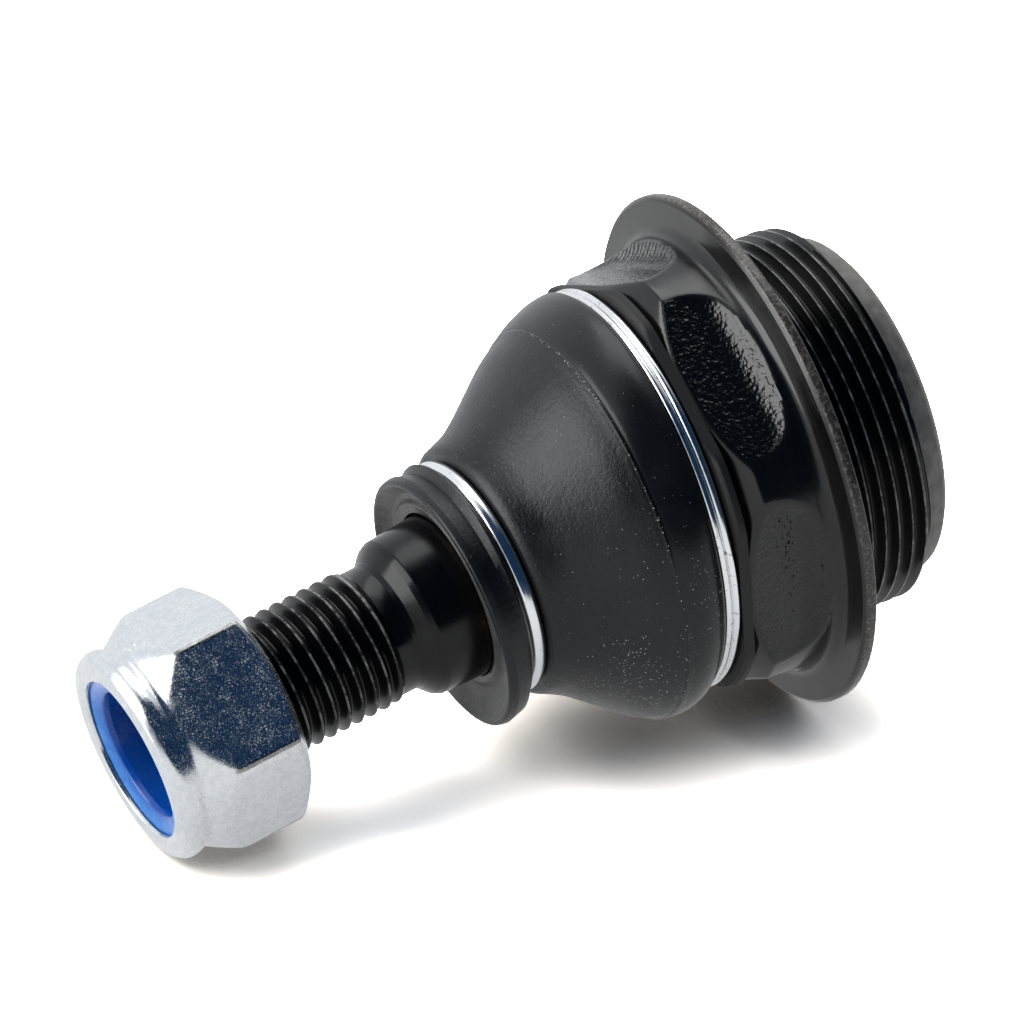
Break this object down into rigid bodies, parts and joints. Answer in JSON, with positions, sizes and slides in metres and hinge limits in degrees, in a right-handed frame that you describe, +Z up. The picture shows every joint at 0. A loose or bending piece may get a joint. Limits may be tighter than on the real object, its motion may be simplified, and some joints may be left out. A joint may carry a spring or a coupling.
{
  "type": "suspension ball joint",
  "caption": "Screw-in suspension ball joint: hexagon housing with flange and outside thread, swivelling ball stud under a rubber dust boot, and a nylon-insert lock nut on the stud's thread.",
  "frame": {"origin": "centre of the bounding box's bottom face, on the floor the joint lies on", "axes": "+X runs along the joint from the lock nut to the closed end, seen from above; +Z is up; +Y is across. The joint lies with the flange's rim and the nut's collar on the floor, so the housing axis climbs 9.34 degrees from it and the stud axis 13.44 degrees. It would roll on its round flange, so it is held by its thread, as it is in use"},
  "size_m": [0.0866, 0.0532, 0.0526],
  "materials": {
    "housing_black": "black paint, glossy on the forged flats and satin on the turned faces",
    "stud_black": "black phosphate and oil over turned steel",
    "bearing_plastic": "natural acetal, satin",
    "cover_steel": "pressed steel, dark phosphate",
    "boot_rubber": "moulded rubber, satin",
    "clip_wire": "bright drawn spring wire",
    "clip_band": "bright rolled steel strip",
    "nut_zinc": "bright zinc plate",
    "nylon_blue": "blue nylon, satin"
  },
  "bodies": {
    "housing": {"housing": "housing_black", "bearing_shell": "bearing_plastic", "cover_plate": "cover_steel", "boot_clip_large": "clip_wire"},
    "boot": {"dust_boot": "boot_rubber"},
    "collar": {"boot_clip_small": "clip_band"},
    "stud": {"ball_stud": "stud_black"},
    "nut_carrier": {"nylon_insert": "nylon_blue"},
    "nut": {"lock_nut": "nut_zinc"}
  },
  "joints": [
    {"name": "swing_direction", "type": "hinge", "parent": "housing", "child": "boot", "pos_m": [0.02407, 0, 0.02592], "axis": [0.9867, 0, 0.1623], "continuous": true},
    {"name": "swing", "type": "hinge", "parent": "boot", "child": "collar", "pos_m": [0.02407, 0, 0.02592], "axis": [-0.1137, -0.7137, 0.6912], "range_deg": [-27.78, 16.22], "deforming": ["dust_boot"]},
    {"name": "spin", "type": "hinge", "parent": "collar", "child": "stud", "pos_m": [0.02407, 0, 0.02592], "axis": [0.97, 0.0706, 0.2324], "continuous": true},
    {"name": "nut_travel", "type": "slide", "parent": "stud", "child": "nut_carrier", "axis": [0.97, 0.0706, 0.2324], "range_m": [-0.0065, 0.012], "deforming": ["nylon_insert"]},
    {"name": "nut_turn", "type": "hinge", "parent": "nut_carrier", "child": "nut", "pos_m": [-0.03413, -0.00424, 0.01197], "axis": [0.97, 0.0706, 0.2324], "range_deg": [-1560, 2880]}
  ],
  "couplings": [
    {"joint": "nut_travel", "follows": "nut_turn", "m_per_rad": 0.00023873}
  ]
}
